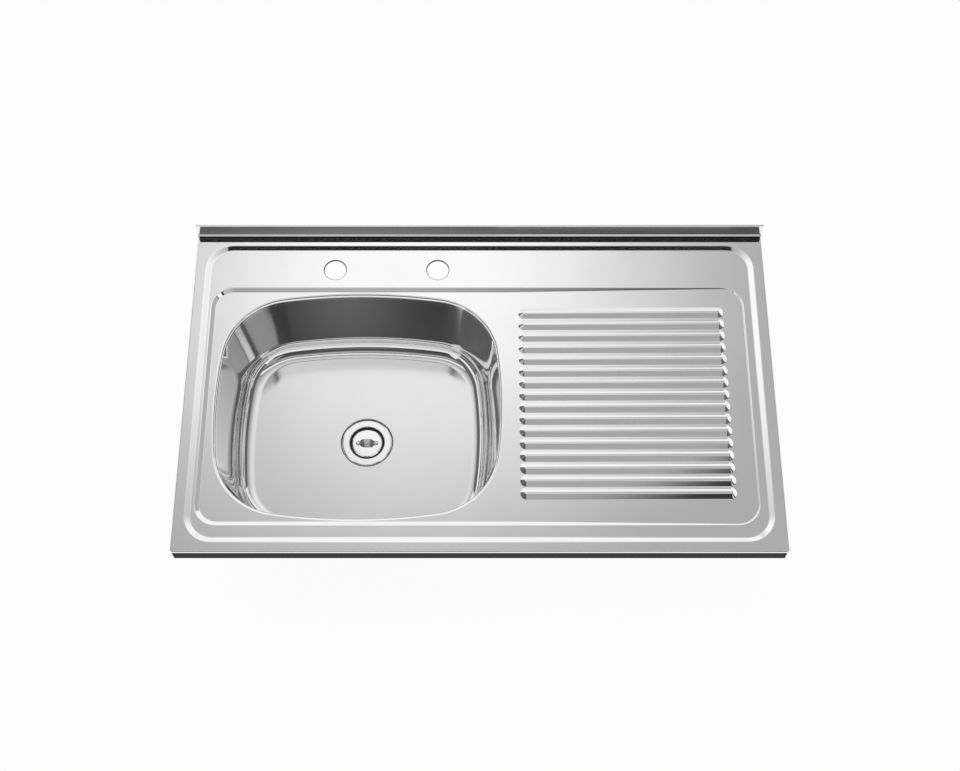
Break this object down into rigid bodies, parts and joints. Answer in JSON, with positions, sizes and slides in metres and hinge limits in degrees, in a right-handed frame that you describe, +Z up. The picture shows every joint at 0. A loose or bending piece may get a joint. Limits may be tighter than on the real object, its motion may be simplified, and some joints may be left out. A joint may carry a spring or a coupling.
{
  "type": "kitchen sink",
  "caption": "Lay-on stainless kitchen sink with a left bowl, sloping ribbed drainer, rear upstand, tap holes and a strainer waste with a lift-out plug.",
  "frame": {"origin": "middle of the rear rim's underside, where the rim lies on the cabinet", "axes": "+X to the user's right along the sink, +Y back to the wall, +Z up"},
  "size_m": [1, 0.6, 0.2775],
  "materials": {
    "deck_steel": "bright polished stainless sheet with fine grain",
    "bowl_steel": "polished walls, satin floor",
    "waste_steel": "bright stainless",
    "plug_steel": "bright stainless",
    "black_rubber": "matte",
    "damping_pad": "matte, embossed",
    "waste_plastic": "moulded",
    "insert_brass": "turned"
  },
  "bodies": {
    "sink": {"sink_top": "deck_steel", "bowl": "bowl_steel", "bowl_pad": "damping_pad", "strainer_cup": "waste_steel", "flange_seal": "black_rubber", "lower_gasket": "black_rubber", "waste_body": "waste_plastic", "thread_insert": "insert_brass", "clamp_bolt": "waste_steel"},
    "plug": {"plug_seal": "black_rubber", "plug_cap": "plug_steel", "seal_washer": "waste_steel", "basket_post": "waste_steel", "strainer_basket": "waste_steel", "plug_handle": "plug_steel", "handle_rivets": "plug_steel"}
  },
  "joints": [
    {"name": "plug_lift", "type": "slide", "parent": "sink", "child": "plug", "axis": [0, 0, 1], "range_m": [0, 0.22]}
  ]
}
